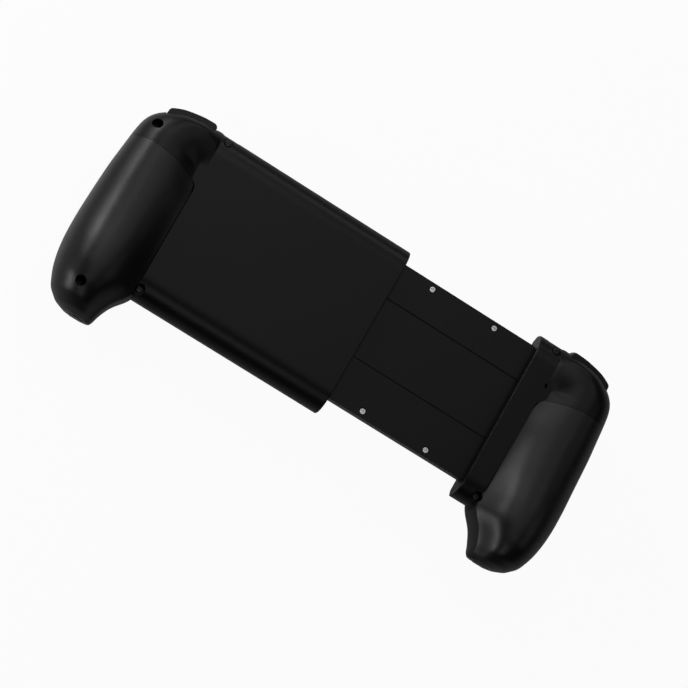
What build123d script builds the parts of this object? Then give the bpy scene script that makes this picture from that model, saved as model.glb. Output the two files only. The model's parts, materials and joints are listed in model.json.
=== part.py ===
from build123d import *
import os
from math import cos, radians, sin

# A telescopic game controller for a phone, lying on its front with its back up.
# +X runs from the sleeve's unit to the tray's unit, +Y to the triggers, +Z out of the back.
# The origin is in the middle of the open controller, on the surface it rests on.
# Everything is in millimetres. u is the distance from the middle, alike for both units.

# Sleeve, and the collars at both ends, which share its outline
body_height = 82.0
body_centre_y = 8.4
body_back_z = 34.0
body_depth = 14.5
body_corner_y = 11.0
body_corner_z = 9.5
body_front_edge = 2.5
body_end_edge = 0.5
sleeve_end_x = 7.5
collar_u = 76.4
collar_overlap = 14.6
collar_lap = 0.6
collar_split_y = 31.0
wall = 2.4
fit_gap = 0.15
run_gap = 0.4
overrun = 30.0

body_top_y = body_centre_y + body_height / 2
body_bottom_y = body_centre_y - body_height / 2
body_front_z = body_back_z - body_depth

# Pods that hold the phone and carry the controls
pod_inner_u = 80.0
pod_outer_u = 96.0
pod_face_z = 8.7
pod_bottom_y = -28.0
pod_wide_z = 24.5
pod_root_y = 34.0
face_step = 0.1
pod_edge = 5.0
parting_z = 21.0

# Grips: a fan of sections round the shoulder, then straight sections down to the tip
pivot_u = 88.0
pivot_y = 28.0
tip_y = -52.8
seam_u = 86.4
grip_outer_u = 123.8
ridge_top_z = 46.2
shoulder_reach = 34.0
shoulder_height = body_top_y - pivot_y - face_step
shoulder_power = 2.6
fan_inner = 1.5
least_corner = 0.8

grip_span = grip_outer_u - seam_u
grip_face_z = pod_face_z + face_step
grip_height = ridge_top_z - grip_face_z
grip_length = pivot_y - tip_y

# Each row: inner edge, foot of the back, its height, slope there, ridge, its height,
# height of the widest point, front height, outer front corner, inner front corner.
# Across, the fan's shares are of the reach at that angle; heights are of the grip's height.
fan_angles = (90.0, 72.0, 54.0, 36.0, 18.0)
fan_shares = (
    (0.140, 0.667, 0.00, 0.49, 0.669, 0.420, 0.134),
    (0.130, 0.667, 0.00, 0.70, 0.705, 0.410, 0.148),
    (0.115, 0.667, 0.03, 0.72, 0.745, 0.400, 0.160),
    (0.100, 0.666, 0.08, 0.67, 0.778, 0.388, 0.170),
    (0.088, 0.665, 0.15, 0.60, 0.802, 0.375, 0.174),
)
grip_stations_share = (
    (0.000, 0.083, 0.104, 0.663, 0.25, 0.564, 0.815, 0.952, 0.366, 0.000, 0.174, 0.08),
    (0.173, -0.037, 0.016, 0.656, 0.38, 0.551, 0.842, 0.984, 0.353, 0.000, 0.187, 0.10),
    (0.347, -0.051, 0.008, 0.655, 0.45, 0.537, 0.880, 0.997, 0.353, 0.000, 0.200, 0.14),
    (0.495, -0.051, 0.004, 0.655, 0.55, 0.537, 0.925, 1.000, 0.380, 0.000, 0.214, 0.18),
    (0.631, -0.051, 0.004, 0.655, 0.70, 0.537, 0.979, 0.989, 0.406, 0.000, 0.240, 0.22),
    (0.743, -0.030, 0.018, 0.655, 0.85, 0.537, 1.000, 0.957, 0.433, 0.035, 0.267, 0.24),
    (0.842, 0.110, 0.155, 0.687, 1.00, 0.529, 0.984, 0.898, 0.473, 0.118, 0.267, 0.20),
    (0.922, 0.187, 0.230, 0.674, 1.00, 0.497, 0.909, 0.813, 0.513, 0.214, 0.214, 0.15),
    (0.9715, 0.215, 0.262, 0.634, 0.95, 0.465, 0.791, 0.692, 0.540, 0.326, 0.147, 0.10),
    (0.990, 0.236, 0.286, 0.605, 0.85, 0.445, 0.712, 0.596, 0.550, 0.400, 0.100, 0.07),
    (1.000, 0.315, 0.340, 0.585, 0.80, 0.420, 0.640, 0.500, 0.556, 0.480, 0.050, 0.035),
)
section_steps = 2
tip_rows = 2
flank_share = 0.55
tip_wall_share = 1.2
round_share = 0.56
foot_pull_share = 0.30

# Grip cover: the seam across the back, and the skin under it
seam_top_y = 27.4
seam_corner_y = 22.8
seam_shoulder_u = 101.0
seam_shoulder_y = 26.2
seam_ridge_u = 112.0
seam_foot_u = 87.6
seam_radius = 5.0
seam_gap = 0.12
seam_lap = 1.6
cover_wall = 1.7
cover_gap = 0.2
underskin_wall = 1.5

# Tray: inner frame, and the cover with its grooves and screws
tray_bottom_y = -25.0
tray_top_y = 42.9
tray_inner_x = -23.0
tray_front_z = 22.5
tray_back_z = 29.0
tray_cover_depth = 2.2
tray_corner = 3.0
tray_rib = 2.6
tray_floor = 1.2
tray_root = 11.0
tray_tab = 1.6
tray_tab_length = 7.0
tray_tab_depth = 2.6
tray_boss_radius = 2.7
tray_cover_lap = 1.0
tray_screw_sink = 0.1
tray_screw_x = (23.7, 56.1)
tray_screw_inset = 2.85
groove_y = (25.6, -4.0)
groove_width = 0.8
groove_depth = 0.7
tray_travel = 68.5
tray_roof_gap = 1.0

# Screws
screw_head_radius = 1.55
screw_head_height = 1.1
screw_shank_radius = 0.9
screw_shank_length = 3.6
screw_cross_width = 0.45
screw_cross_length = 1.7
screw_cross_depth = 0.6
screw_seat_gap = 0.12
recess_radius = 2.3
shell_screw_u = 85.0
shell_screw_y = (45.8, -28.3)
shell_screw_sink = 3.4
cover_screw_u = 108.1
cover_screw_y = -40.4
cover_screw_sink = 11.0
corner_screw_u = 115.0
corner_screw_y = 35.5
corner_screw_sink = 6.4
boss_radius = 2.6
long_boss_wall = 1.0
short_boss_radius = 2.7
short_boss_front_z = 26.0
short_screw_length = 3.2
reset_u = 87.7
reset_y = 29.3
reset_length = 2.2
reset_width = 1.1
reset_turn = 104.0

# Phone bed, its pads and the slide's rails
bed_lip = 4.5
bed_depth = 2.2
bed_pad_depth = 1.0
bed_pad_width = 7.0
bed_pad_length = 62.0
bed_pad_spread = 26.0
bed_pad_sink = 0.4
bed_pad_corner = 2.0
pad_gap = 0.05
rail_depth = 3.2
rail_front_gap = 0.45
rail_side_gap = 0.45
rail_run_gap = 0.3
rail_end_u = 81.0
clamp_pad_height = 62.0
clamp_pad_width = 7.6
clamp_pad_depth = 1.2
clamp_pad_sink = 0.5

# Circuit boards and what sits on them
board_back_z = 18.8
board_depth = 1.2
board_inset = 3.1
board_inner_u = 83.0
board_outer_u = 117.0
board_bottom_y = -26.0
board_top_y = 39.0
board_post_radius = 2.2
board_posts = ((86.0, 37.5), (85.2, 4.0), (114.2, 17.6), (112.6, -19.5))
board_screw_length = 3.4
chip_size = 7.0
chip_depth = 1.0
chip_places = ((101.0, -6.0), (101.0, 14.0))
membrane_depth = 0.8
dome_radius = 2.6
dome_height = 0.8
battery_length = 32.0
battery_width = 15.0
battery_depth = 8.6
battery_u = 106.5
battery_y = -19.0
battery_edge = 1.6
battery_room = 1.8
cradle_width = 1.6
cradle_spread = 18.0

# Charging socket in the lower side of the sleeve's pod
port_u = 87.6
port_width = 8.9
port_height = 3.2
port_length = 7.2
port_wall = 0.35
port_tongue = 0.7
port_tongue_width = 6.6
port_gap = 0.12
port_board_gap = 0.1
port_recess = 0.4

# Face buttons, small buttons and the cross pad
button_face_z = 6.6
button_radius = 4.3
button_spread = 7.4
button_gap = 0.25
button_crown = 0.6
flange_width = 0.8
flange_depth = 1.0
flange_gap = 0.2
foot_radius = 2.4
foot_travel_room = 1.4
cluster_u = 102.0
upper_y = 29.0
lower_y = 3.0
small_face_z = 7.9
small_radius = 3.0
small_places = ((92.5, -16.5), (102.5, -16.5))
pad_arm_length = 9.6
pad_arm_width = 6.6
pad_corner = 1.2
pad_side_gap = 0.6
pad_disc_radius = 8.8
pad_pivot_z = 14.5
pad_boss_radius = 2.1
pad_ring_inner = 3.0
pad_ring_outer = 4.5
pad_ring_depth = 1.6
pad_ear_depth = 1.4
pad_pin_radius = 0.55
pin_gap = 0.05
pad_base_half = 4.0
pad_disc_gap = 0.75
pad_foot_reach = 7.4
pad_foot_radius = 1.2
pad_dome_radius = 1.3
pad_base_depth = 0.8

# Thumbsticks
stick_pivot_z = 14.4
can_side = 17.4
can_wall = 0.6
can_opening = 8.1
can_height = 5.2
carrier_side = 15.6
carrier_wall = 1.2
carrier_depth = 2.4
yoke_outer = 5.5
yoke_inner = 4.2
yoke_depth = 2.0
stick_pin_radius = 0.55
stick_ball_radius = 2.6
stick_shaft_radius = 1.9
cap_radius = 7.9
cap_rim = 2.6
cap_hollow_depth = 0.7
cap_hollow_radius = 5.6
cap_neck_radius = 3.5
cap_dome_radius = 8.3
cap_dome_wall = 0.9
cap_dome_angle = 50.0
cap_socket_gap = 0.04
cap_socket_sink = 0.8
stick_hole_face = 6.4
stick_hole_back = 8.3

# Bumpers and triggers on the top edge
bumper_inner_u = 94.4
bumper_outer_u = 110.7
bumper_front_z = 11.7
bumper_back_z = 16.2
bumper_proud = 0.7
bumper_gap = 0.25
bumper_flange = 1.6
bumper_back_inset = 4.3
bumper_root_y = 43.4
trigger_inner_u = 92.3
trigger_outer_u = 113.8
trigger_front_z = 18.9
trigger_back_z = 30.4
trigger_proud = 2.1
trigger_skin = 2.2
trigger_end_radius = 2.0
trigger_gap = 0.3
trigger_roof_gap = 1.0
trigger_line_inner_y = 46.4
trigger_line_outer_y = 42.2
trigger_line_mid_y = 47.8
trigger_pin_y = 42.6
trigger_pin_z = 19.4
trigger_pin_radius = 1.0
trigger_hub_radius = 1.9
trigger_hub_inner_u = 97.0
trigger_hub_outer_u = 104.0
trigger_web_top_z = 24.0
bracket_thickness = 1.6
bracket_root_y = 35.5
bracket_front_y = 40.6
bracket_head = 1.0
window_depth_y = 39.0

# Indicator windows beside the cross pad
lens_u = 84.6
lens_first_y = -18.0
lens_step = 4.0
lens_count = 4
lens_length = 2.2
lens_width = 1.2
lens_depth = 2.8
lens_proud = 0.05
lens_gap = 0.05


def grip_section(origin_u, origin_y, angle, sizes, inset):
    """Closed outline of the grip across its length, drawn in by inset."""
    out = Vector(cos(radians(angle)), sin(radians(angle)), 0)
    plane = Plane(origin=(origin_u, origin_y, 0), x_dir=out, z_dir=out.cross(Vector(0, 0, 1)))
    inner, foot, foot_z, slope, ridge, ridge_z, outer, wide_z, front_z, corner, heel = sizes
    inner, foot, outer = inner + inset, foot + inset, outer - inset
    foot_z, ridge_z, front_z = foot_z - inset, ridge_z - inset, front_z + inset
    corner = max(corner - inset, least_corner)
    heel = max(heel - inset / 2, least_corner)
    flank_z = front_z + flank_share * (foot_z - front_z)
    rise, drop = ridge_z - wide_z, wide_z - front_z
    pull = foot_pull_share * (ridge - foot)
    tuck = foot_pull_share * (foot - inner)
    k = round_share

    def point(r, z):
        return plane.from_local_coords((r, z, 0))

    edges = [
        Edge.make_line(point(inner + heel, front_z), point(outer - corner, front_z)),
        Edge.make_bezier(
            point(outer - corner, front_z), point(outer - corner * (1 - k), front_z),
            point(outer, wide_z - k * drop), point(outer, wide_z)),
        Edge.make_bezier(
            point(outer, wide_z), point(outer, wide_z + k * rise),
            point(ridge + k * (outer - ridge), ridge_z), point(ridge, ridge_z)),
        Edge.make_bezier(
            point(ridge, ridge_z), point(ridge - k * (ridge - foot), ridge_z),
            point(foot + pull, foot_z + slope * pull), point(foot, foot_z)),
        Edge.make_bezier(
            point(foot, foot_z), point(foot - tuck, foot_z - slope * tuck),
            point(inner, flank_z + k * (foot_z - flank_z)), point(inner, flank_z)),
        Edge.make_bezier(
            point(inner, flank_z), point(inner, flank_z - k * (flank_z - front_z)),
            point(inner + heel * (1 - k), front_z), point(inner + heel, front_z)),
    ]
    return Wire(edges)


def shoulder_radius(angle):
    """Distance from the pivot to the grip's side, round the shoulder."""
    across = abs(cos(radians(angle))) / shoulder_reach
    along = abs(sin(radians(angle))) / shoulder_height
    return (across**shoulder_power + along**shoulder_power) ** (-1 / shoulder_power)


def grip_rows():
    """Angle, y and sizes of every named section, measured from the pivot."""
    rows = []
    for angle, row in zip(fan_angles, fan_shares):
        foot, foot_z, slope, ridge, ridge_z, wide_z, corner = row
        reach = shoulder_radius(angle)
        rows.append((
            angle, pivot_y, fan_inner, foot * reach, grip_face_z + foot_z * grip_height, slope,
            ridge * reach, grip_face_z + ridge_z * grip_height, reach,
            grip_face_z + wide_z * grip_height, grip_face_z, corner * grip_height, foot * reach / 2))
    seam = seam_u - pivot_u
    for row in grip_stations_share:
        along, inner, foot, foot_z, slope, ridge, ridge_z, outer, wide_z, front_z, corner, heel = row
        rows.append((
            0.0, pivot_y - along * grip_length, seam + inner * grip_span, seam + foot * grip_span,
            grip_face_z + foot_z * grip_height, slope, seam + ridge * grip_span,
            grip_face_z + ridge_z * grip_height, seam + outer * grip_span,
            grip_face_z + wide_z * grip_height, grip_face_z + front_z * grip_height,
            corner * grip_height, heel * grip_height))
    return rows


def outer_point(row):
    """Where a section's outer side is, seen from the back."""
    angle, y, reach = radians(row[0]), row[1], row[8]
    return Vector(reach * cos(angle), y + reach * sin(angle), 0)


def smooth_slope(rows, where, index, column):
    """Slope of one column at a row that never overshoots its neighbours."""
    before, after = max(index - 1, 0), min(index + 1, len(rows) - 1)
    slopes, steps = [], []
    for low, high in ((before, index), (index, after)):
        if high > low:
            steps.append(where[high] - where[low])
            slopes.append((rows[high][column] - rows[low][column]) / steps[-1])
    if len(slopes) < 2:
        return slopes[0]
    if slopes[0] * slopes[1] <= 0:
        return 0.0
    weights = (2 * steps[1] + steps[0], steps[1] + 2 * steps[0])
    return sum(weights) / (weights[0] / slopes[0] + weights[1] / slopes[1])


def between(start, end, start_slope, end_slope, t):
    """Cubic blend between two values with given slopes."""
    return ((2 * t**3 - 3 * t**2 + 1) * start + (t**3 - 2 * t**2 + t) * start_slope
            + (3 * t**2 - 2 * t**3) * end + (t**3 - t**2) * end_slope)


def refined(rows):
    """The rows with more rows blended in between, so that the loft stays true."""
    where = [0.0]
    for row, following in zip(rows, rows[1:]):
        where.append(where[-1] + (outer_point(following) - outer_point(row)).length)
    result = []
    for index in range(len(rows) - 1):
        row, following = rows[index], rows[index + 1]
        step = where[index + 1] - where[index]
        for part in range(section_steps):
            t = part / section_steps
            angle_and_y = [(1 - t) * row[c] + t * following[c] for c in (0, 1)]
            sizes = [
                between(row[c], following[c], step * smooth_slope(rows, where, index, c),
                        step * smooth_slope(rows, where, index + 1, c), t)
                for c in range(2, len(row))]
            result.append(tuple(angle_and_y + sizes))
    return result + [rows[-1]]


def grip(inset):
    """The whole grip as one smooth solid, drawn in by inset."""
    rows = grip_rows()
    if inset > 0:
        rows = rows[:-tip_rows]
        rows[-1] = (0.0, tip_y + inset * tip_wall_share) + rows[-1][2:]
    return Solid.make_loft(
        [grip_section(pivot_u, row[1], row[0], row[2:], inset) for row in refined(rows)])


def grip_root(inset):
    """The shoulder's first section carried straight in to the phone's side."""
    first = grip_rows()[0]
    face = Face(grip_section(pivot_u, first[1], first[0], first[2:], inset))
    return extrude(face, pivot_u - pod_inner_u - inset, dir=(-1, 0, 0))


def block(x, y, z, corner=0.0):
    """Box between three pairs of limits, with its upright edges rounded."""
    size = [high - low for low, high in (x, y, z)]
    middle = [(low + high) / 2 for low, high in (x, y, z)]
    box = Pos(*middle) * Box(*size)
    if corner > 0:
        box = fillet(box.edges().filter_by(Axis.Z), corner)
    return box


def rod_z(u, y, radius, low, high):
    return Pos(u, y, (low + high) / 2) * Cylinder(radius, high - low)


def rod_x(y, z, radius, low, high):
    return Pos((low + high) / 2, y, z) * Rot(0, 90, 0) * Cylinder(radius, high - low)


def rod_y(u, z, radius, low, high):
    return Pos(u, (low + high) / 2, z) * Rot(90, 0, 0) * Cylinder(radius, high - low)


def prism_x(points, low, high):
    """Straight bar along X with an outline given in (y, z)."""
    face = make_face(Plane.YZ.offset(low) * Polyline(*points, close=True))
    return extrude(face, high - low, dir=(1, 0, 0))


def body_outline(inset):
    """The sleeve's outline across its length, on the YZ plane, drawn in by inset."""
    top, bottom = body_top_y - inset, body_bottom_y + inset
    back, front = body_back_z - inset, body_front_z + inset
    round_y, round_z = body_corner_y - inset, body_corner_z - inset
    edge = max(body_front_edge - inset, least_corner)
    k = round_share

    def corner(y, sign):
        start, end = (y - sign * round_y, back), (y, back - round_z)
        return Bezier(start, (y - sign * round_y * (1 - k), back),
                      (y, back - round_z * (1 - k)), end)

    left, right = corner(bottom, -1), corner(top, 1)
    lines = [
        Line((bottom + round_y, back), (top - round_y, back)), right,
        Line((top, back - round_z), (top, front + edge)),
        Line((top, front + edge), (top - edge, front)),
        Line((top - edge, front), (bottom + edge, front)),
        Line((bottom + edge, front), (bottom, front + edge)),
        Line((bottom, front + edge), (bottom, back - round_z)), left]
    return make_face(Plane.YZ * Curve(lines))


def body_bar(inset, low, high):
    """A length of the sleeve's outline along X."""
    return extrude(Pos(low, 0, 0) * body_outline(inset), high - low, dir=(1, 0, 0))


def edged_bar(low, high, end):
    """A length of the sleeve's outline with the rim of one end rounded, the last or the first."""
    bar = body_bar(0, low, high)
    return fillet(bar.faces().sort_by(Axis.X)[end].edges(), body_end_edge)


def pod(inset):
    """The block beside the phone, rounded at its lower end, with its top end in the grip."""
    low = pod_bottom_y + inset
    front = pod_face_z + inset
    edge = max(pod_edge - inset, least_corner)
    drop = pod_wide_z - front
    k = round_share
    lines = [
        Line((low + edge, front), (pod_root_y, front)),
        Line((pod_root_y, front), (pod_root_y, pod_wide_z)),
        Line((pod_root_y, pod_wide_z), (low, pod_wide_z)),
        Bezier((low, pod_wide_z), (low, pod_wide_z - k * drop),
               (low + edge * (1 - k), front), (low + edge, front))]
    outline = make_face(Plane.YZ.offset(pod_inner_u + inset) * Curve(lines))
    return extrude(outline, pod_outer_u - pod_inner_u - inset, dir=(1, 0, 0))


def unit(inset):
    """Collar, pod and grip together, drawn in by inset."""
    drawn = max(inset, 0)
    if inset:
        collar = body_bar(inset, collar_u + inset, collar_u + collar_overlap)
    else:
        collar = edged_bar(collar_u, collar_u + collar_overlap, 0)
    collar -= block(
        (pod_inner_u + collar_lap + drawn, pod_outer_u),
        (collar_split_y + drawn, body_top_y + overrun), (0, body_back_z + overrun))
    return grip(inset) + grip_root(inset) + pod(inset) + collar


def seam_prism(growth):
    """Upright block over the part of the grip that the cover takes."""
    far = grip_outer_u + overrun
    low = tip_y - overrun
    points = [
        (far, seam_top_y), (seam_ridge_u, seam_top_y), (seam_shoulder_u, seam_shoulder_y),
        (seam_foot_u, seam_corner_y), (seam_u, pod_bottom_y), (seam_u, low), (far, low)]
    outline = make_face(FilletPolyline(*points, radius=seam_radius, close=True))
    if growth:
        outline = offset(outline, growth)
    return extrude(Pos(0, 0, parting_z) * outline, grip_height, dir=(0, 0, 1))


def everything(low_z, high_z):
    """A slab far wider than the controller."""
    return block(
        (-grip_outer_u - overrun, grip_outer_u + overrun), (tip_y - overrun, body_top_y + overrun),
        (low_z, high_z))


def screw(u, y, seat_z, length):
    """Pan-head screw with its head towards the back, seated at seat_z."""
    top = seat_z + screw_head_height
    head = rod_z(u, y, screw_head_radius, seat_z, top)
    head = chamfer(head.edges().group_by(Axis.Z)[-1], screw_head_height / 3)
    shank = rod_z(u, y, screw_shank_radius, seat_z - length, seat_z)
    slot_z = (top - screw_cross_depth, top + screw_cross_depth)
    half_long, half_wide = screw_cross_length / 2, screw_cross_width / 2
    slots = block((u - half_long, u + half_long), (y - half_wide, y + half_wide), slot_z)
    slots += block((u - half_wide, u + half_wide), (y - half_long, y + half_long), slot_z)
    return head + shank - slots


shell_seat_z = body_back_z - shell_screw_sink - screw_head_height
corner_seat_z = body_back_z - corner_screw_sink - screw_head_height
cover_seat_z = ridge_top_z - cover_screw_sink - screw_head_height


class Unit:
    """The solids that both units share, built once for the tray's side."""

    def __init__(self):
        self.outside = unit(0)
        self.inside = unit(wall)
        self.skin = self.outside - self.inside
        self.cover_inside = grip(cover_wall)
        under = cover_wall + cover_gap
        self.underskin = grip(under) - grip(under + underskin_wall) - self.tray_room()
        self.window = self.trigger_window()
        self.grip_grown = grip(-trigger_proud)

    def tray_room(self):
        """The space under the back that the drawn-in tray takes."""
        return block(
            (collar_u, collar_u + collar_overlap + wall), (body_bottom_y + wall, body_top_y - wall),
            (0, tray_back_z + tray_roof_gap))

    def trigger_window(self):
        """Room for the trigger in the top edge, open above the line seen from the back."""
        gap = trigger_gap
        u = (trigger_inner_u - gap, trigger_outer_u + gap)
        z = (trigger_front_z - gap, trigger_back_z + trigger_roof_gap)
        room = block(u, (window_depth_y, body_top_y + overrun), z)
        middle_u = (trigger_inner_u + trigger_outer_u) / 2
        far = body_top_y + overrun
        outline = make_face(Polyline(
            (u[0], trigger_line_inner_y), (middle_u - run_gap, trigger_line_mid_y),
            (u[1], trigger_line_outer_y), (u[1], far), (u[0], far), close=True))
        above = extrude(Pos(0, 0, z[0]) * outline, grip_height, dir=(0, 0, 1))
        return room + above

    def front_shell(self):
        """Front half of a unit: the pod's face, its inner wall and the grip's front."""
        half = everything(0, parting_z - fit_gap / 2)
        shell = (self.skin & half) - block(
            (0, pod_inner_u), (body_bottom_y - overrun, body_top_y + overrun), (0, body_back_z))
        inner_z = pod_face_z + wall
        for u, y in board_posts:
            post = rod_z(u, y, board_post_radius, inner_z - wall / 2, board_back_z - board_depth)
            shell += post - rod_z(u, y, screw_shank_radius + pin_gap, inner_z + wall / 2, board_back_z)
        return shell - self.window - self.bumper_window()

    def bumper_window(self):
        gap = bumper_gap
        return block(
            (bumper_inner_u - gap, bumper_outer_u + gap), (window_depth_y, body_top_y + overrun),
            (bumper_front_z - gap, bumper_back_z + gap))

    def back_shell(self):
        """Back half of a unit, with the sunk skin that the grip cover lies on."""
        half = everything(parting_z + fit_gap / 2, ridge_top_z + overrun)
        collar = block((0, pod_inner_u), (body_bottom_y - overrun, body_top_y + overrun), (0, body_back_z))
        shell = (self.skin & half) - seam_prism(0)
        shell += self.skin & collar
        shell += self.underskin & half & seam_prism(seam_lap)
        for low in (trigger_hub_inner_u - bracket_thickness - fit_gap, trigger_hub_outer_u + fit_gap):
            shell += self.bracket(low) & self.outside
        return shell - self.window_above()

    def window_above(self):
        """The trigger's window without the room that the brackets stand in."""
        reach = bracket_thickness + fit_gap
        keep = block(
            (trigger_hub_inner_u - reach, trigger_hub_outer_u + reach),
            (window_depth_y - overrun, trigger_pin_y + trigger_hub_radius), (0, trigger_back_z))
        return self.window - keep

    def bracket(self, low):
        """Rib of the back shell that holds one end of the trigger's pin."""
        head = trigger_pin_radius + bracket_head
        points = [
            (bracket_root_y, ridge_top_z), (bracket_front_y, ridge_top_z),
            (bracket_front_y, trigger_web_top_z),
            (trigger_pin_y + head, trigger_pin_z + head), (trigger_pin_y + head, trigger_pin_z - head),
            (trigger_pin_y - head, trigger_pin_z - head), (bracket_root_y, trigger_web_top_z)]
        rib = prism_x(points, low, low + bracket_thickness)
        bore = rod_x(
            trigger_pin_y, trigger_pin_z, trigger_pin_radius + pin_gap / 2, low - overrun, low + overrun)
        return rib - bore

    def grip_cover(self):
        """Soft-coated skin over the back of the grip."""
        half = everything(parting_z + fit_gap / 2, ridge_top_z + overrun)
        return ((grip(0) - self.cover_inside) & half & seam_prism(-seam_gap)) - self.tray_room()

    def trigger(self):
        u = (trigger_inner_u, trigger_outer_u)
        zone = block(u, (window_depth_y, body_top_y + overrun), (trigger_front_z, trigger_back_z))
        skin = self.rounded_ends((self.grip_grown - grip(trigger_skin)) & zone, u)
        hub_u = (trigger_hub_inner_u, trigger_hub_outer_u)
        hub = rod_x(trigger_pin_y, trigger_pin_z, trigger_hub_radius, *hub_u)
        web = prism_x(
            [(trigger_pin_y, trigger_pin_z - trigger_hub_radius + trigger_gap),
             (body_top_y + overrun, trigger_pin_z - trigger_hub_radius + trigger_gap),
             (body_top_y + overrun, trigger_web_top_z), (trigger_pin_y, trigger_pin_z + trigger_hub_radius)],
            *hub_u)
        web = web & grip(0) & everything(trigger_front_z, trigger_back_z)
        bore = rod_x(trigger_pin_y, trigger_pin_z, trigger_pin_radius + pin_gap, 0, grip_outer_u)
        return max((skin + hub + web - bore).solids(), key=lambda solid: solid.volume)

    def rounded_ends(self, skin, ends):
        """The trigger's skin with its outer corners rounded, seen from the back."""
        skin = max(skin.solids(), key=lambda solid: solid.volume)
        corners = []
        for end in ends:
            beside = skin.edges().filter_by_position(Axis.X, end - fit_gap, end + fit_gap)
            upright = [edge for edge in beside if edge.bounding_box().size.Z > 2 * trigger_skin]
            corners.append(max(upright, key=lambda edge: edge.center().Y))
        return skin.fillet(trigger_end_radius, corners)

    def trigger_pin(self):
        reach = bracket_thickness + fit_gap
        return rod_x(
            trigger_pin_y, trigger_pin_z, trigger_pin_radius,
            trigger_hub_inner_u - reach, trigger_hub_outer_u + reach)

    def bumper(self):
        y = (bumper_root_y, body_top_y + overrun)
        z = (bumper_front_z, bumper_back_z)
        deep = grip(bumper_back_inset)
        zone = block((bumper_inner_u, bumper_outer_u), y, z)
        cap = (grip(-bumper_proud) - deep) & zone
        flange_zone = block((bumper_inner_u - bumper_flange, bumper_outer_u + bumper_flange), y, z)
        flange = (grip(wall + bumper_gap) - deep) & flange_zone
        return cap + flange


def on_sleeve_side(shape):
    """The same shape on the sleeve's unit."""
    return mirror(shape, about=Plane.YZ)


board_front_z = board_back_z - board_depth
face_inner_z = grip_face_z + wall
membrane_front_z = board_front_z - membrane_depth
foot_end_z = membrane_front_z - dome_height - foot_travel_room


def four_round(u, y, reach):
    return ((u + reach, y), (u, y + reach), (u - reach, y), (u, y - reach))


def button(u, y, radius, face_z):
    """Round cap with a flange behind the face and a foot over its dome."""
    flange_z = face_inner_z + flange_gap
    cap = rod_z(u, y, radius, face_z, flange_z + flange_depth / 2)
    cap = fillet(cap.edges().group_by(Axis.Z)[0], button_crown)
    flange = rod_z(u, y, radius + flange_width, flange_z, flange_z + flange_depth)
    return cap + flange + rod_z(u, y, foot_radius, flange_z + flange_depth / 2, foot_end_z)


def membrane(places, half_u, half_y, centre_u, centre_y, radius):
    """Silicone sheet on the board with a dome under each button."""
    sheet = block(
        (centre_u - half_u, centre_u + half_u), (centre_y - half_y, centre_y + half_y),
        (membrane_front_z, board_front_z), pad_corner)
    for u, y in places:
        sheet += Pos(u, y, membrane_front_z - dome_height / 2) * Cone(
            radius * (1 - round_share / 2), radius, dome_height)
    return sheet


def face_holes(places, radius):
    return [rod_z(u, y, radius + button_gap, 0, body_front_z) for u, y in places]


face_places = four_round(cluster_u, upper_y, button_spread)


def cross(arm, width, low, high, corner):
    u, y = cluster_u, upper_y
    long_u = block((u - arm, u + arm), (y - width / 2, y + width / 2), (low, high), corner)
    long_y = block((u - width / 2, u + width / 2), (y - arm, y + arm), (low, high), corner)
    return long_u + long_y


def cross_pad():
    """Cross-shaped cap, its disc behind the face, its boss, pins and four feet."""
    disc_z = face_inner_z + pad_disc_gap
    cap = cross(pad_arm_length, pad_arm_width, button_face_z, disc_z + flange_depth / 2, pad_corner)
    cap = fillet(cap.edges().group_by(Axis.Z)[0], button_crown)
    cap += rod_z(cluster_u, upper_y, pad_disc_radius, disc_z, disc_z + flange_depth)
    cap += rod_z(cluster_u, upper_y, pad_boss_radius, disc_z, pad_pivot_z + pad_pin_radius * 2)
    cap += Pos(cluster_u, upper_y, 0) * rod_y(
        0, pad_pivot_z, pad_pin_radius, -pad_ring_outer + fit_gap, pad_ring_outer - fit_gap)
    for u, y in four_round(cluster_u, upper_y, pad_foot_reach):
        cap += rod_z(u, y, pad_foot_radius, disc_z + flange_depth / 2, foot_end_z)
    return cap


def ring(outer, inner, depth):
    return Cylinder(outer, depth) - Cylinder(inner, depth)


def pad_rocker():
    """Ring between the cross and its base, pinned along X to the base's ears."""
    reach = pad_ring_outer + fit_gap + pad_ear_depth
    body = ring(pad_ring_outer, pad_ring_inner, pad_ring_depth)
    pins = rod_x(0, 0, pad_pin_radius, -reach, reach) - Cylinder(pad_ring_inner, pad_ring_depth)
    body += pins
    body -= rod_y(0, 0, pad_pin_radius + pin_gap, -overrun, overrun)
    return Pos(cluster_u, upper_y, pad_pivot_z) * body


def pad_base():
    """Plate on the board whose two ears carry the rocker."""
    reach = pad_ring_outer + fit_gap
    half_u = reach + pad_ear_depth
    plate = block(
        (cluster_u - half_u, cluster_u + half_u),
        (upper_y - pad_base_half, upper_y + pad_base_half), (board_front_z - pad_base_depth, board_front_z))
    ear_z = (pad_pivot_z - pad_pin_radius * 2, board_front_z)
    for side in (-1, 1):
        limits = sorted((cluster_u + side * reach, cluster_u + side * half_u))
        plate += block(limits, (upper_y - pad_ring_inner / 2, upper_y + pad_ring_inner / 2), ear_z)
    bore = rod_x(upper_y, pad_pivot_z, pad_pin_radius + pin_gap, 0, grip_outer_u)
    return plate - bore


def stick_can():
    """Sheet-metal housing of a thumbstick, open to the board."""
    half = can_side / 2
    front = board_front_z - can_height
    span_u, span_y = (cluster_u - half, cluster_u + half), (lower_y - half, lower_y + half)
    box = block(span_u, span_y, (front, board_front_z))
    inner = half - can_wall
    room = block(
        (cluster_u - inner, cluster_u + inner), (lower_y - inner, lower_y + inner),
        (front + can_wall, board_back_z))
    return box - room - rod_z(cluster_u, lower_y, can_opening, 0, board_front_z)


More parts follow.
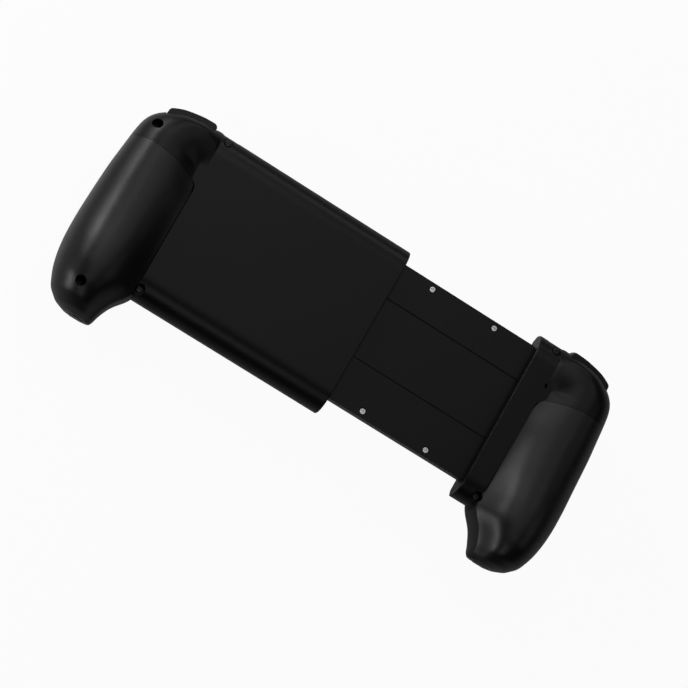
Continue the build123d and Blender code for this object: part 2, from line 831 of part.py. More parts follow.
def stick_carrier():
    """Square frame that slides when the stick is clicked and carries the yoke."""
    half = carrier_side / 2
    inner = half - carrier_wall
    frame = Box(carrier_side, carrier_side, carrier_depth) - Box(2 * inner, 2 * inner, carrier_depth)
    frame -= rod_x(0, 0, stick_pin_radius + pin_gap, -overrun, overrun)
    return Pos(cluster_u, lower_y, stick_pivot_z) * frame


def stick_yoke():
    reach = carrier_side / 2 - fit_gap
    pins = rod_x(0, 0, stick_pin_radius, -reach, reach) - Cylinder(yoke_inner, yoke_depth)
    body = ring(yoke_outer, yoke_inner, yoke_depth) + pins
    body -= rod_y(0, 0, stick_pin_radius + pin_gap, -overrun, overrun)
    return Pos(cluster_u, lower_y, stick_pivot_z) * body


def stick_post():
    """Ball with its pins, and the shaft that the cap is pressed on."""
    reach = yoke_outer - fit_gap
    body = Sphere(stick_ball_radius) + rod_y(0, 0, stick_pin_radius, -reach, reach)
    body = Pos(cluster_u, lower_y, stick_pivot_z) * body
    return body + rod_z(cluster_u, lower_y, stick_shaft_radius, cap_rim - cap_socket_sink, stick_pivot_z)


def stick_cap():
    """Dished thumb cap on a neck, with the dome that closes the hole."""
    rim = rod_z(cluster_u, lower_y, cap_radius, 0, cap_rim)
    rim = fillet(rim.edges().group_by(Axis.Z)[0], cap_hollow_depth)
    rim -= rod_z(cluster_u, lower_y, cap_hollow_radius, 0, cap_hollow_depth)
    outer = Sphere(cap_dome_radius) - Sphere(cap_dome_radius - cap_dome_wall)
    cone = Cone(
        0, overrun * sin(radians(cap_dome_angle)), overrun * cos(radians(cap_dome_angle)),
        align=(Align.CENTER, Align.CENTER, Align.MIN))
    dome = Pos(cluster_u, lower_y, stick_pivot_z) * (outer & (Rot(180, 0, 0) * cone))
    neck_end = stick_pivot_z - cap_dome_radius + cap_dome_wall / 2
    neck = rod_z(cluster_u, lower_y, cap_neck_radius, cap_rim - cap_hollow_depth, neck_end)
    bore = rod_z(
        cluster_u, lower_y, stick_shaft_radius + cap_socket_gap,
        cap_rim - cap_socket_sink - cap_socket_gap, stick_pivot_z)
    return rim + dome + neck - bore


def stick_hole():
    depth = face_inner_z + fit_gap - pod_face_z
    return Pos(cluster_u, lower_y, pod_face_z + depth / 2) * Cone(stick_hole_face, stick_hole_back, depth)


def board(shape, tongue):
    """Board cut to the inside of the unit, with its chips and holes."""
    layer = everything(board_front_z, board_back_z)
    zone = block((board_inner_u, board_outer_u), (board_bottom_y, board_top_y), (0, body_back_z))
    if tongue:
        zone += block(
            (board_inner_u, port_u + port_width / 2), (board_top_y, body_top_y - wall - port_length / 2),
            (0, body_back_z))
    plate = shape & layer & zone
    plate -= rod_z(corner_screw_u, corner_screw_y, boss_radius + run_gap, 0, body_back_z)
    for u, y in board_posts:
        plate -= rod_z(u, y, screw_shank_radius + pin_gap, 0, body_back_z)
    for u, y in chip_places:
        half = chip_size / 2
        plate += block((u - half, u + half), (y - half, y + half), (board_back_z, board_back_z + chip_depth))
    return plate


def board_screws():
    return [screw(u, y, board_back_z, board_screw_length) for u, y in board_posts]


def clamp_pad():
    """Rubber strip let into the pod's inner wall, where the phone's end presses."""
    u = (pod_inner_u - clamp_pad_depth + clamp_pad_sink, pod_inner_u + clamp_pad_sink)
    middle_z = (pod_face_z + body_front_z) / 2
    y = (body_centre_y - clamp_pad_height / 2, body_centre_y + clamp_pad_height / 2)
    return block(u, y, (middle_z - clamp_pad_width / 2, middle_z + clamp_pad_width / 2))


def clamp_pad_room():
    middle_z = (pod_face_z + body_front_z) / 2
    half_y, half_z = clamp_pad_height / 2 + pad_gap, clamp_pad_width / 2 + pad_gap
    return block(
        (pod_inner_u - overrun, pod_inner_u + clamp_pad_sink + pad_gap),
        (body_centre_y - half_y, body_centre_y + half_y), (middle_z - half_z, middle_z + half_z))


def lens(index):
    y = lens_first_y + index * lens_step
    half_long, half_wide = lens_length / 2, lens_width / 2
    return block(
        (lens_u - half_long, lens_u + half_long), (y - half_wide, y + half_wide),
        (pod_face_z - lens_proud, pod_face_z - lens_proud + lens_depth))


def lens_room(index):
    y = lens_first_y + index * lens_step
    half_long, half_wide = lens_length / 2 + lens_gap, lens_width / 2 + lens_gap
    return block(
        (lens_u - half_long, lens_u + half_long), (y - half_wide, y + half_wide), (0, body_front_z))


def port_outline(shrink):
    """Rounded mouth of the charging socket, in (u, z) on the XZ plane."""
    width, height = port_width - 2 * shrink, port_height - 2 * shrink
    return SlotOverall(width, height)


port_z = board_front_z - port_board_gap - port_height / 2
port_outer_y = body_top_y - port_recess


def port_bar(shrink, low_y, high_y):
    plane = Plane(origin=(port_u, high_y, port_z), x_dir=(1, 0, 0), z_dir=(0, 1, 0))
    return extrude(plane * port_outline(shrink), -(high_y - low_y))


def charge_port():
    shell = port_bar(0, port_outer_y - port_length, port_outer_y)
    shell -= port_bar(port_wall, port_outer_y - port_length + port_wall, port_outer_y + overrun)
    half = port_tongue_width / 2
    tongue = block(
        (port_u - half, port_u + half), (port_outer_y - port_length, port_outer_y - port_recess),
        (port_z - port_tongue / 2, port_z + port_tongue / 2))
    return shell + tongue


def screw_recess(u, y, seat_z):
    return rod_z(u, y, recess_radius, seat_z, ridge_top_z + overrun)


def screw_bore(u, y, seat_z):
    return rod_z(u, y, screw_shank_radius + pin_gap, 0, seat_z)


def short_bosses(outside):
    """Bosses for the two screws beside the slide, kept short to let its tabs pass."""
    shapes = []
    for y in shell_screw_y:
        boss = rod_z(shell_screw_u, y, short_boss_radius, short_boss_front_z, body_back_z)
        shapes.append((boss & outside) - seam_prism(0))
    return shapes


def cut_short_screws(shell):
    for y in shell_screw_y:
        shell -= screw_recess(shell_screw_u, y, shell_seat_z)
        shell -= screw_bore(shell_screw_u, y, shell_seat_z)
    return shell


def short_screws():
    return [screw(shell_screw_u, y, shell_seat_z, short_screw_length) for y in shell_screw_y]


def long_screws():
    return [
        screw(corner_screw_u, corner_screw_y, corner_seat_z, screw_shank_length),
        screw(cover_screw_u, cover_screw_y, cover_seat_z, screw_shank_length)]


def long_posts(outside):
    """Posts of the front shell under the two screws outside the slide."""
    posts = []
    for u, y in ((corner_screw_u, corner_screw_y), (cover_screw_u, cover_screw_y)):
        post = rod_z(u, y, boss_radius, pod_face_z + wall / 2, parting_z - fit_gap / 2) & outside
        posts.append(post - rod_z(u, y, screw_shank_radius + pin_gap, face_inner_z, body_back_z))
    return posts


def long_bosses(outside):
    bosses = []
    for u, y, top in (
            (corner_screw_u, corner_screw_y, body_back_z), (cover_screw_u, cover_screw_y, ridge_top_z)):
        bosses.append(rod_z(u, y, boss_radius + long_boss_wall, parting_z + fit_gap / 2, top) & outside)
    return bosses


def main_back_shell(shared):
    """Back of the sleeve and of its unit, one moulding with a slot for the tray."""
    shell = shared.back_shell()
    under = grip(cover_wall + cover_gap)
    corner, tall = long_bosses(shared.outside)
    shell += corner - seam_prism(0)
    shell += tall & under
    for boss in short_bosses(shared.outside):
        shell += boss
    cradle_z = (battery_back_z + fit_gap, ridge_top_z)
    half = battery_width / 2
    for side in (-1, 1):
        y = battery_y + side * cradle_spread / 2
        rib = block(
            (battery_u - half, battery_u + half), (y - cradle_width / 2, y + cradle_width / 2), cradle_z)
        shell += rib & under
    shell = cut_short_screws(shell)
    for u, y, seat in (
            (corner_screw_u, corner_screw_y, corner_seat_z), (cover_screw_u, cover_screw_y, cover_seat_z)):
        shell -= screw_recess(u, y, seat)
        shell -= screw_bore(u, y, seat)
    shell -= block(
        (collar_u, tray_travel - tray_inner_x + run_gap), (tray_bottom_y - fit_gap, tray_top_y + fit_gap),
        (tray_front_z - fit_gap, tray_back_z + run_gap))
    shell = on_sleeve_side(shell)
    sleeve = edged_bar(-collar_u - wall, sleeve_end_x, -1)
    shell += sleeve - body_bar(wall, -collar_u - wall, sleeve_end_x)
    room = body_bar(wall, -collar_u - wall * 2, sleeve_end_x)
    bed = block(
        (-pod_inner_u - fit_gap, sleeve_end_x + overrun),
        (body_bottom_y + bed_lip, body_top_y - bed_lip), (0, body_front_z + wall + fit_gap))
    return shell - room - bed


def bed_panel():
    """Plate that the phone lies against, let into the front of the sleeve."""
    panel = block(
        (-pod_inner_u + fit_gap, sleeve_end_x - fit_gap),
        (body_bottom_y + bed_lip + fit_gap, body_top_y - bed_lip - fit_gap),
        (body_front_z, body_front_z + bed_depth))
    for room in bed_pads(pad_gap):
        panel -= room
    return panel


def bed_pads(gap):
    """The two rubber strips on the panel, or with a gap the rooms for them."""
    middle = (sleeve_end_x - pod_inner_u) / 2
    front = body_front_z - bed_pad_depth + bed_pad_sink
    half_x, half_y = bed_pad_length / 2 + gap, bed_pad_width / 2 + gap
    pads = []
    for side in (-1, 1):
        y = body_centre_y + side * bed_pad_spread
        pads.append(block(
            (middle - half_x, middle + half_x), (y - half_y, y + half_y),
            (front - gap, body_front_z + bed_pad_sink + gap), bed_pad_corner))
    return pads


def slide_rails():
    """Two low-friction strips along the sleeve, stepped to stop the tray's tabs."""
    z = (body_front_z + wall + rail_front_gap, body_front_z + wall + rail_front_gap + rail_depth)
    mouth_x = sleeve_end_x - rail_front_gap
    step_x = tray_inner_x + tray_tab_length + run_gap
    rails = []
    for edge, out, sign in (
            (tray_top_y, body_top_y - wall - rail_side_gap, 1),
            (tray_bottom_y, body_bottom_y + wall + rail_side_gap, -1)):
        near = sorted((edge + sign * rail_run_gap, out))
        far = sorted((edge + sign * (tray_tab + rail_run_gap), out))
        rails.append(block((step_x, mouth_x), near, z) + block((-rail_end_u, step_x), far, z))
    return rails


def tray_frame():
    """Ribbed plate of the slide, rooted in the tray's unit, with its stop tabs."""
    x = (tray_inner_x, collar_u + tray_root)
    y = (tray_bottom_y, tray_top_y)
    back = tray_back_z - tray_cover_depth - fit_gap
    frame = block(x, y, (tray_front_z, back), tray_corner)
    rooms = sorted((tray_bottom_y, tray_top_y) + groove_y)
    for low, high in zip(rooms, rooms[1:]):
        frame -= block(
            (x[0] + tray_rib, collar_u - tray_rib), (low + tray_rib, high - tray_rib),
            (tray_front_z + tray_floor, back + overrun), tray_corner / 2)
    tab_z = (tray_front_z + rail_front_gap, tray_front_z + rail_front_gap + tray_tab_depth)
    frame += block(
        (x[0] + tray_corner, x[0] + tray_tab_length), (y[0] - tray_tab, y[1] + tray_tab), tab_z) - block(
        (x[0], x[0] + tray_tab_length + tray_rib), (y[0] + tray_rib, y[1] - tray_rib), tab_z)
    for screw_x, screw_y in tray_screw_places():
        frame += rod_z(screw_x, screw_y, tray_boss_radius, tray_front_z, back) & block(x, y, (0, body_back_z))
        frame -= rod_z(
            screw_x, screw_y, screw_shank_radius + pin_gap, tray_front_z + tray_floor, back + overrun)
    return frame


def tray_screw_places():
    rows = (tray_top_y - tray_screw_inset, tray_bottom_y + tray_screw_inset)
    return [(x, y) for x in tray_screw_x for y in rows]


tray_screw_seat_z = tray_back_z - screw_head_height - tray_screw_sink


def tray_cover():
    """Back plate of the tray with its two long grooves and four countersinks."""
    cover = block(
        (tray_inner_x, collar_u + tray_cover_lap), (tray_bottom_y, tray_top_y),
        (tray_back_z - tray_cover_depth, tray_back_z), tray_corner)
    for y in groove_y:
        cover -= block(
            (tray_inner_x - overrun, collar_u + overrun), (y - groove_width / 2, y + groove_width / 2),
            (tray_back_z - groove_depth, body_back_z))
    for x, y in tray_screw_places():
        cover -= rod_z(x, y, screw_head_radius + screw_seat_gap, tray_screw_seat_z, body_back_z)
        cover -= rod_z(x, y, screw_shank_radius + pin_gap, 0, body_back_z)
    return cover


def tray_back_shell(shared):
    """Back of the tray's unit, slotted for the tray."""
    shell = shared.back_shell()
    for boss in short_bosses(shared.outside):
        shell += boss
    shell = cut_short_screws(shell)
    shell -= block(
        (0, collar_u + wall * 2), (tray_bottom_y - fit_gap, tray_top_y + fit_gap),
        (tray_front_z - fit_gap, tray_back_z + fit_gap))
    slot = extrude(
        Pos(reset_u, reset_y, body_front_z) * Rot(0, 0, reset_turn) * SlotOverall(reset_length, reset_width),
        grip_height)
    return shell - slot


battery_front_z = board_back_z + chip_depth + battery_room
battery_back_z = battery_front_z + battery_depth


def battery():
    half = battery_width / 2
    cell = block(
        (battery_u - half, battery_u + half),
        (battery_y - battery_length / 2, battery_y + battery_length / 2),
        (battery_front_z, battery_back_z))
    return fillet(cell.edges().filter_by(Axis.Y), battery_edge)


middle_y = (pivot_y + shoulder_height + trigger_proud + tip_y) / 2


def write(name, shapes):
    """Save one piece, moved so that the whole controller is centred along Y."""
    shapes = shapes if isinstance(shapes, (list, tuple)) else [shapes]
    solids = [Pos(0, -middle_y, 0) * solid for shape in shapes for solid in shape.solids()]
    export_step(Compound(children=solids) if len(solids) > 1 else solids[0], f"parts/{name}.step")


def main():
    os.makedirs("parts", exist_ok=True)
    shared = Unit()
    board_shape = unit(board_inset)
    small_holes = face_holes(small_places, small_radius)
    cross_hole = cross(
        pad_arm_length + pad_side_gap, pad_arm_width + 2 * pad_side_gap, 0, body_front_z, pad_corner)
    front = shared.front_shell() - clamp_pad_room() - stick_hole()
    for hole in small_holes:
        front -= hole

    # Tray's unit, at the user's left hand
    left_front = front - cross_hole
    for index in range(lens_count):
        left_front -= lens_room(index)
    write("left_front_shell", left_front)
    write("left_back_shell", tray_back_shell(shared))
    soft_cover = shared.grip_cover()
    for y in shell_screw_y:
        soft_cover -= screw_recess(shell_screw_u, y, shell_seat_z)
    write("left_grip_cover", soft_cover)
    write("left_shell_screws", short_screws())
    write("left_clamp_pad", clamp_pad())
    write("left_circuit_board", board(board_shape, False))
    write("left_board_screws", board_screws())
    write("indicator_lenses", [lens(index) for index in range(lens_count)])
    feet = four_round(cluster_u, upper_y, pad_foot_reach)
    half = pad_disc_radius + pad_corner
    room_u = pad_ring_outer + fit_gap * 2 + pad_ear_depth
    room_y = pad_base_half + fit_gap
    pad_room = block(
        (cluster_u - room_u, cluster_u + room_u), (upper_y - room_y, upper_y + room_y),
        (0, board_front_z))
    write("left_button_membrane", [
        membrane(feet, half, half, cluster_u, upper_y, pad_dome_radius) - pad_room,
        small_membrane()])
    write("cross_pad", cross_pad())
    write("cross_pad_rocker", pad_rocker())
    write("cross_pad_base", pad_base())
    for name, (u, y) in zip(("left_inner_button", "left_outer_button"), small_places):
        write(name, button(u, y, small_radius, small_face_z))

    # Sleeve's unit, at the user's right hand
    right_front = front
    for hole in face_holes(face_places, button_radius):
        right_front -= hole
    for post in long_posts(shared.outside):
        right_front += post
    right_front -= port_bar(-port_gap, board_top_y, body_top_y + overrun)
    write("right_front_shell", on_sleeve_side(right_front))
    write("main_back_shell", main_back_shell(shared))
    soft_cover -= screw_recess(cover_screw_u, cover_screw_y, cover_seat_z)
    write("right_grip_cover", on_sleeve_side(soft_cover))
    write("main_shell_screws", [on_sleeve_side(s) for s in short_screws() + long_screws()])
    write("right_clamp_pad", on_sleeve_side(clamp_pad()))
    write("main_circuit_board", on_sleeve_side(board(board_shape, True)))
    write("main_board_screws", [on_sleeve_side(s) for s in board_screws()])
    write("charge_port", on_sleeve_side(charge_port()))
    write("battery", on_sleeve_side(battery()))
    half = button_spread + dome_radius
    write("right_button_membrane", [
        on_sleeve_side(membrane(face_places, half, half, cluster_u, upper_y, dome_radius)),
        on_sleeve_side(small_membrane())])
    names = ("face_button_right", "face_button_top", "face_button_left", "face_button_bottom")
    for name, (u, y) in zip(names, face_places):
        write(name, on_sleeve_side(button(u, y, button_radius, button_face_z)))
    for name, (u, y) in zip(("right_inner_button", "right_outer_button"), small_places):
        write(name, on_sleeve_side(button(u, y, small_radius, small_face_z)))

    # Controls that both units have
    alike = {
        "stick_housing": stick_can(), "stick_carrier": stick_carrier(), "stick_yoke": stick_yoke(),
        "stick_post": stick_post(), "stick_cap": stick_cap(), "bumper": shared.bumper(),
        "trigger": shared.trigger(), "trigger_pin": shared.trigger_pin()}
    for name, shape in alike.items():
        write(f"left_{name}", shape)
        write(f"right_{name}", on_sleeve_side(shape))

    # Sleeve and tray
    write("phone_bed_panel", bed_panel())
    write("phone_bed_pads", bed_pads(0))
    write("slide_rails", slide_rails())
    write("tray_frame", tray_frame())
    write("tray_back_cover", tray_cover())
    write("tray_screws", [
        screw(x, y, tray_screw_seat_z, screw_shank_length) for x, y in tray_screw_places()])


def small_membrane():
    middle_u = (small_places[0][0] + small_places[1][0]) / 2
    half_u = (small_places[1][0] - small_places[0][0]) / 2 + dome_radius + pad_corner
    return membrane(
        small_places, half_u, dome_radius + pad_corner / 2, middle_u, small_places[0][1], dome_radius)


main()
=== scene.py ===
# %% [markdown]
# # A telescopic phone controller, seen from its back
# The controller lies on its front, so that the camera looks at the sleeve, the drawn-out tray and
# the two soft-coated grips. This script gives every one of them its finish, and sets the camera,
# the floor and the light.

# %% Load the fixed frame
import json
import math
import bmesh
import bpy
from mathutils import Matrix, Vector

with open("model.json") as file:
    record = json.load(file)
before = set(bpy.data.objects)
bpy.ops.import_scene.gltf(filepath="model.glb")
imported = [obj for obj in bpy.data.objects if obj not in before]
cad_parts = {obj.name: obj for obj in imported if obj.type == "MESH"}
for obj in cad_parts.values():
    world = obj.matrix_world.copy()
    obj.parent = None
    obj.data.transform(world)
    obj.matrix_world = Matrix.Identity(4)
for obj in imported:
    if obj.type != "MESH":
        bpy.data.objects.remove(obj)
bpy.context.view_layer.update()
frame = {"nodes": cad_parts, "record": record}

# %% [markdown]
# ## Units and slots
# Blender works in metres and a maker thinks in millimetres, so one factor turns one into the other.
# The record says which finish each solid is made in, and that is looked up by the solid's name.

# %% Units and the slot of each solid
MM = 0.001
slot_of = {row["node"]: row["material_slot"] for row in frame["record"]["subparts"]}
print("finishes asked for", sorted(set(slot_of.values())))

# %% [markdown]
# ## The parts of a finish
# Almost everything here is black, and black is the hardest colour to make look real: with one flat
# value it turns into a hole in the picture. So each finish is built from noise patterns on Object
# coordinates, whose sizes stay true when a piece moves. A few small helpers keep the node trees
# short: one starts a material, and the others make a pattern, stretch it, tint with it or raise
# the surface by it.

# %% Helpers for node materials
def start_material(name):
    """A new node material with its shader and the Object coordinates to pattern it by."""
    material = bpy.data.materials.new(name)
    material.use_nodes = True
    nodes, links = material.node_tree.nodes, material.node_tree.links
    shader = nodes["Principled BSDF"]
    coordinates = nodes.new("ShaderNodeTexCoord").outputs["Object"]
    return material, nodes, links, shader, coordinates


def noise(nodes, links, coordinates, cell, detail, roughness=0.5):
    """A noise pattern whose cells are so many metres across."""
    node = nodes.new("ShaderNodeTexNoise")
    node.inputs["Scale"].default_value = 1 / cell
    node.inputs["Detail"].default_value = detail
    node.inputs["Roughness"].default_value = roughness
    links.new(coordinates, node.inputs["Vector"])
    return node.outputs["Fac"]


def ramp(nodes, links, value, low, high, from_low=0.3, from_high=0.7):
    """The pattern's usual range stretched to lie between two values."""
    node = nodes.new("ShaderNodeMapRange")
    node.inputs["From Min"].default_value = from_low
    node.inputs["From Max"].default_value = from_high
    node.inputs["To Min"].default_value = low
    node.inputs["To Max"].default_value = high
    links.new(value, node.inputs["Value"])
    return node.outputs["Result"]


def two_tones(nodes, links, value, dark, light):
    """Colour that drifts between two tones with a pattern."""
    node = nodes.new("ShaderNodeMix")
    node.data_type = "RGBA"
    node.inputs["A"].default_value = (*dark, 1)
    node.inputs["B"].default_value = (*light, 1)
    links.new(value, node.inputs["Factor"])
    return node.outputs["Result"]


def raise_by(nodes, links, shader, pattern, depth, strength):
    """Give the shader a surface that stands up by a pattern, depth metres deep."""
    bump = nodes.new("ShaderNodeBump")
    bump.inputs["Strength"].default_value = strength
    bump.inputs["Distance"].default_value = depth
    links.new(pattern, bump.inputs["Height"])
    links.new(bump.outputs["Normal"], shader.inputs["Normal"])


# %% [markdown]
# ## Moulded plastic and rubber
# A mould's wall is eroded by sparks, and every piece that comes out of it has that fine grain. Its
# tone drifts a little with the flow of the plastic, and handling leaves it unevenly glossy. Three
# patterns give these three. An image could do the same, but a pattern has no seam and no pixels.
# Rubber and silicone come out of moulds too, so they share this finish with a deeper, duller grain.

# %% The moulded finish
flow_cell = 14 * MM
handling_cell = 5 * MM
grain_strength = 0.35


def moulded(name, dark, light, gloss, grain, depth, specular=0.5):
    """A moulded finish; gloss is a pair of roughnesses, grain and depth are in millimetres."""
    material, nodes, links, shader, coordinates = start_material(name)
    flow = noise(nodes, links, coordinates, flow_cell, 3)
    handling = noise(nodes, links, coordinates, handling_cell, 5, 0.6)
    sparks = noise(nodes, links, coordinates, grain * MM, 4, 0.7)
    links.new(two_tones(nodes, links, flow, dark, light), shader.inputs["Base Color"])
    links.new(ramp(nodes, links, handling, *gloss), shader.inputs["Roughness"])
    shader.inputs["Specular IOR Level"].default_value = specular
    raise_by(nodes, links, shader, sparks, depth * MM, grain_strength)
    return material


# %% [markdown]
# ## The black back
# The sleeve, the shoulders and the tray are satin black, the grips have a soft coating that spreads
# light a little more, and the triggers, bumpers and buttons are polished. The photograph's blacks
# are very deep, so the tones are near nought and the gloss is kept low by the specular level.

# %% Satin shell, tray, soft-touch grip and polished controls
satin_dark, satin_light = (0.0015, 0.0015, 0.0016), (0.0019, 0.0019, 0.0020)
finishes = {
    "shell_plastic": moulded(
        "satin_shell", satin_dark, satin_light,
        gloss=(0.34, 0.37), grain=0.32, depth=0.014, specular=0.155),
    "tray_plastic": moulded(
        "tray_back", satin_dark, satin_light,
        gloss=(0.35, 0.38), grain=0.32, depth=0.014, specular=0.165),
    "grip_skin": moulded(
        "soft_touch_grip", (0.0015, 0.0016, 0.0015), (0.0019, 0.0021, 0.0020),
        gloss=(0.36, 0.40), grain=0.26, depth=0.016, specular=0.25),
    "control_plastic": moulded(
        "polished_control", (0.0016, 0.0016, 0.0017), (0.0020, 0.0020, 0.0021),
        gloss=(0.24, 0.30), grain=0.30, depth=0.006, specular=0.18),
}
print("black finishes", sorted(finishes))

# %% [markdown]
# ## Rubber and silicone
# The stick caps and the strips that hold the phone are dull rubber. The sheets with a dome under
# each button are milky silicone, which shows only when the shells are taken apart.

# %% Rubber caps, rubber strips and silicone sheets
finishes["cap_rubber"] = moulded(
    "stick_rubber", (0.0075, 0.0075, 0.0075), (0.0105, 0.0105, 0.0105),
    gloss=(0.70, 0.82), grain=0.22, depth=0.03, specular=0.3)
finishes["pad_rubber"] = moulded(
    "pad_rubber", (0.012, 0.012, 0.012), (0.018, 0.018, 0.018),
    gloss=(0.72, 0.85), grain=0.30, depth=0.03, specular=0.3)
finishes["silicone"] = moulded(
    "silicone_sheet", (0.42, 0.44, 0.45), (0.52, 0.54, 0.55),
    gloss=(0.55, 0.68), grain=0.35, depth=0.02, specular=0.4)
print("with rubber", len(finishes))

# %% [markdown]
# ## Plastics inside and on the front
# The frame behind the tray is plain matt black. The slide rails are pale and waxy, as low-friction
# plastic is. A circuit board is green under its clear coat, and the indicator windows are milky.

# %% Frame, rails, boards and windows
finishes["frame_plastic"] = moulded(
    "plain_matt", (0.0085, 0.0085, 0.0088), (0.0115, 0.0115, 0.0118),
    gloss=(0.55, 0.65), grain=0.40, depth=0.025)
finishes["slider_plastic"] = moulded(
    "waxy_acetal", (0.60, 0.60, 0.57), (0.70, 0.70, 0.67),
    gloss=(0.38, 0.48), grain=0.45, depth=0.01)
finishes["board_laminate"] = moulded(
    "solder_mask", (0.010, 0.055, 0.026), (0.015, 0.075, 0.035),
    gloss=(0.25, 0.38), grain=0.50, depth=0.01)
finishes["lens_plastic"] = moulded(
    "milky_lens", (0.55, 0.59, 0.62), (0.66, 0.70, 0.73),
    gloss=(0.18, 0.28), grain=0.40, depth=0.005)
print("with the inside", len(finishes))

# %% [markdown]
# ## Metal
# The tray's screws are the only bright things on the back, so they need a plated look: a metal
# with a blotchy shine and fine scratches. One helper serves the bright screws, the blackened ones,
# the pressed sheet of the sticks' cans and the battery's foil, each with its own tone and gloss.

# %% The plated finish
blotch_cell = 0.9 * MM
scratch_cell = 0.12 * MM
scratch_depth = 0.01 * MM
scratch_strength = 0.2
blotch_share = 0.8


def plated(name, tone, gloss):
    """Metal with fine scratches and a blotchy shine; its blotches are a share of its tone."""
    material, nodes, links, shader, coordinates = start_material(name)
    blotches = noise(nodes, links, coordinates, blotch_cell, 4, 0.6)
    scratches = noise(nodes, links, coordinates, scratch_cell, 2)
    dark = tuple(blotch_share * part for part in tone)
    links.new(two_tones(nodes, links, blotches, dark, tone), shader.inputs["Base Color"])
    links.new(ramp(nodes, links, blotches, *gloss), shader.inputs["Roughness"])
    shader.inputs["Metallic"].default_value = 1.0
    raise_by(nodes, links, shader, scratches, scratch_depth, scratch_strength)
    return material


# %% Screws, cans and foil
finishes["screw_steel"] = plated("zinc_plate", (0.58, 0.58, 0.60), gloss=(0.24, 0.38))
finishes["screw_black"] = plated("black_oxide", (0.030, 0.030, 0.032), gloss=(0.36, 0.50))
finishes["plated_steel"] = plated("pressed_sheet", (0.55, 0.55, 0.57), gloss=(0.28, 0.42))
finishes["cell_foil"] = plated("cell_foil", (0.56, 0.57, 0.59), gloss=(0.42, 0.56))
print("all finishes", len(finishes))

# %% [markdown]
# ## Dressing the solids
# A solid keeps its own mesh, which already has the exact shape. Only its material changes.

# %% Give each solid its finish
for name, solid in frame["nodes"].items():
    solid.data.materials.clear()
    solid.data.materials.append(finishes[slot_of[name]])
print("solids dressed", len(frame["nodes"]))

# %% [markdown]
# ## Camera
# The photograph was taken from high above the back with a long lens, and the camera was turned
# well over, so that the controller lies across the picture. The angles below were found by
# lining up the sleeve's corners, the tray's screws and the grips' ends.

# %% The camera's axes from three angles
def camera_frame(azimuth, elevation, roll):
    """Rotation of a camera that looks at its target from the given side."""
    a, e, r = (math.radians(angle) for angle in (azimuth, elevation, roll))
    back = Vector((math.sin(a) * math.cos(e), -math.cos(a) * math.cos(e), math.sin(e)))
    level = Vector((0, 0, 1)).cross(back).normalized()
    up = back.cross(level)
    right = level * math.cos(r) + up * math.sin(r)
    top = up * math.cos(r) - level * math.sin(r)
    return Matrix((right, top, back)).transposed()


# %% The camera itself
view_azimuth, view_elevation, view_roll = -36.0, 75.5, 67.04
view_distance = 863.6 * MM
view_target = Vector((2.6, 0.1, 25.0)) * MM
focal_length, sensor_width = 104.65, 36.0
lens = bpy.data.cameras.new("photo_camera")
lens.sensor_width = sensor_width
lens.lens = focal_length
camera = bpy.data.objects.new("photo_camera", lens)
bpy.context.scene.collection.objects.link(camera)
turn = camera_frame(view_azimuth, view_elevation, view_roll)
camera.matrix_world = Matrix.Translation(view_target + turn.col[2] * view_distance) @ turn.to_4x4()
bpy.context.scene.camera = camera
print("camera at", [round(part, 3) for part in camera.matrix_world.translation])

# %% [markdown]
# ## Floor
# The photograph has a plain white ground. A white floor under plain light renders pale grey, so
# the rays that come straight from the camera, or through something clear, see it whiter, while
# the light it throws on the object stays as it is. Mirror rays are left out: a white floor
# mirrored in black plastic would draw a pale rim all round it that the photograph doesn't have.
# The sticks and buttons face down, so the underside of the floor lets the eye through, and the
# floor casts no shadow, so that lamps below it reach the front.

# %% Switches for the floor and the world
def either(nodes, links, one, other):
    """One where any of two switches is one."""
    node = nodes.new("ShaderNodeMath")
    node.operation = "MAXIMUM"
    links.new(one, node.inputs[0])
    links.new(other, node.inputs[1])
    return node.outputs["Value"]


def eye_rays(nodes, links):
    """One for a ray straight from the camera or through something clear, and nought otherwise."""
    rays = nodes.new("ShaderNodeLightPath").outputs
    return either(nodes, links, rays["Is Camera Ray"], rays["Is Transmission Ray"])


def mixed(nodes, links, share, one, other):
    """One shader, and another in its place by a share."""
    node = nodes.new("ShaderNodeMixShader")
    links.new(share, node.inputs["Fac"])
    links.new(one, node.inputs[1])
    links.new(other, node.inputs[2])
    return node.outputs["Shader"]


# %% The floor's mesh
floor_size = 6.0
shape = bmesh.new()
bmesh.ops.create_grid(shape, x_segments=1, y_segments=1, size=floor_size / 2)
floor_mesh = bpy.data.meshes.new("floor")
shape.to_mesh(floor_mesh)
shape.free()
floor = bpy.data.objects.new("floor", floor_mesh)
bpy.context.scene.collection.objects.link(floor)
print("floor", floor_size, "m")

# %% The floor's paint
floor_dark, floor_light = (0.45, 0.45, 0.45), (0.47, 0.47, 0.47)
floor_cell = 1 / 3
floor_roughness = 0.9
eye_share = 0.95
floor_paint, nodes, links, shader, coordinates = start_material("pale_floor")
tone = noise(nodes, links, coordinates, floor_cell, 2)
links.new(two_tones(nodes, links, tone, floor_dark, floor_light), shader.inputs["Base Color"])
shader.inputs["Roughness"].default_value = floor_roughness
shader.inputs["Specular IOR Level"].default_value = 0.0
white = nodes.new("ShaderNodeEmission")
white.inputs["Color"].default_value = (1, 1, 1, 1)
share = nodes.new("ShaderNodeMath")
share.operation = "MULTIPLY"
share.inputs[1].default_value = eye_share
links.new(eye_rays(nodes, links), share.inputs[0])
topside = mixed(
    nodes, links, share.outputs["Value"], shader.outputs["BSDF"], white.outputs["Emission"])
below = nodes.new("ShaderNodeNewGeometry").outputs["Backfacing"]
shadow_rays = nodes.new("ShaderNodeLightPath").outputs["Is Shadow Ray"]
clear = nodes.new("ShaderNodeBsdfTransparent").outputs["BSDF"]
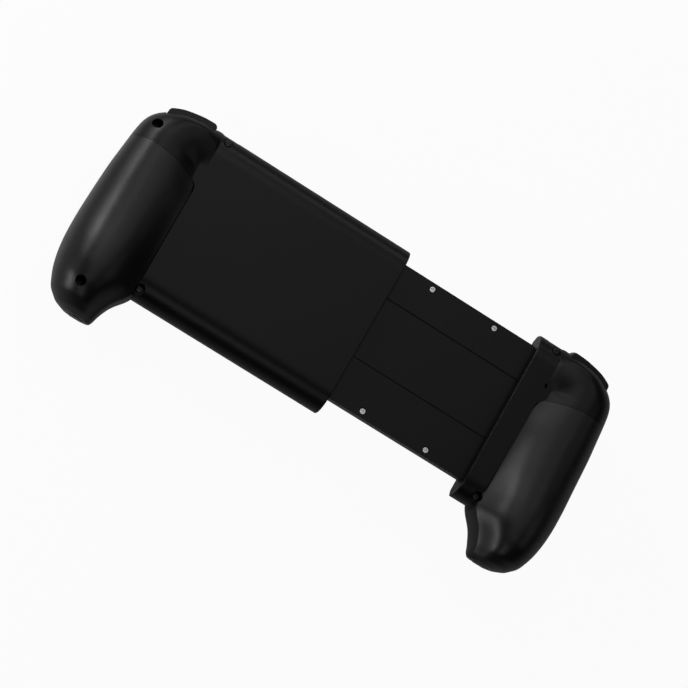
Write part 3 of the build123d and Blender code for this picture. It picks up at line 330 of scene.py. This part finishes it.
surface = mixed(nodes, links, either(nodes, links, below, shadow_rays), topside, clear)
links.new(surface, nodes["Material Output"].inputs["Surface"])
floor_mesh.materials.append(floor_paint)
print("floor painted with", floor_paint.name)

# %% [markdown]
# ## Light
# A black satin surface shows little of its own colour: what the eye reads as its shape is the soft
# boxes mirrored in it. In the photograph one box stands high behind the upper edge, towards the
# sleeve's end, and its image runs down both grips as a broad band. A small low one beside it draws
# the right grip's ridge, one low at the sleeve's end draws the grips' rims, and wide faint ones
# light the flats. Each box is given by its direction from the controller, so that moving a
# highlight means turning one angle. Two more stand under the floor, for the front.

# %% One soft box
middle = Vector((0, 0, 25)) * MM


def soft_box(name, azimuth, elevation, distance, size, power):
    """Rectangular area light facing the controller; azimuth is counted from +X towards +Y."""
    light = bpy.data.lights.new(name, "AREA")
    light.shape = "RECTANGLE"
    light.size, light.size_y = size
    light.energy = power
    lamp = bpy.data.objects.new(name, light)
    bpy.context.scene.collection.objects.link(lamp)
    a, e = math.radians(azimuth), math.radians(elevation)
    away = Vector((math.cos(a) * math.cos(e), math.sin(a) * math.cos(e), math.sin(e)))
    lamp.rotation_mode = "QUATERNION"
    lamp.rotation_quaternion = away.to_track_quat("Z", "Y")
    lamp.location = middle + away * distance


# %% All soft boxes: degrees, degrees, metres, metres, watts
soft_box("key", 150, 24, 1.0, (0.30, 0.18), 2.6)
soft_box("low_key", 145, 14, 0.7, (0.50, 0.30), 1.6)
soft_box("low_fill", 206, 15, 0.7, (0.34, 0.23), 1.9)
soft_box("high_key", 122, 51, 0.7, (0.45, 0.35), 1.0)
soft_box("top_strip", 90, 25, 1.3, (0.80, 0.35), 2.0)
soft_box("overhead", 90, 80, 1.3, (0.80, 0.80), 1.8)
soft_box("front_fill", 262, 50, 1.3, (0.70, 0.45), 1.8)
soft_box("far_high", 60, 50, 1.3, (0.50, 0.50), 0.9)
soft_box("far_side", 10, 40, 1.3, (0.60, 0.60), 0.8)
soft_box("under_key", 150, -55, 1.0, (0.45, 0.35), 2.2)
soft_box("under_fill", 300, -70, 1.3, (0.80, 0.80), 2.4)
print("lamps", len(bpy.data.lights))

# %% [markdown]
# ## World
# A faint even world keeps the sides that no box reaches from turning wholly black. The eye sees
# it as white as the floor, so that no horizon cuts across a low view.

# %% Even world
faint_strength = 0.03
backdrop_strength = 0.966
world = bpy.data.worlds.new("studio")
world.use_nodes = True
nodes, links = world.node_tree.nodes, world.node_tree.links
faint, backdrop = nodes["Background"], nodes.new("ShaderNodeBackground")
for sky, strength in ((faint, faint_strength), (backdrop, backdrop_strength)):
    sky.inputs["Color"].default_value = (1, 1, 1, 1)
    sky.inputs["Strength"].default_value = strength
surface = mixed(
    nodes, links, eye_rays(nodes, links),
    faint.outputs["Background"], backdrop.outputs["Background"])
links.new(surface, nodes["World Output"].inputs["Surface"])
bpy.context.scene.world = world
bpy.context.scene.view_settings.view_transform = "Standard"
print("world", world.name)
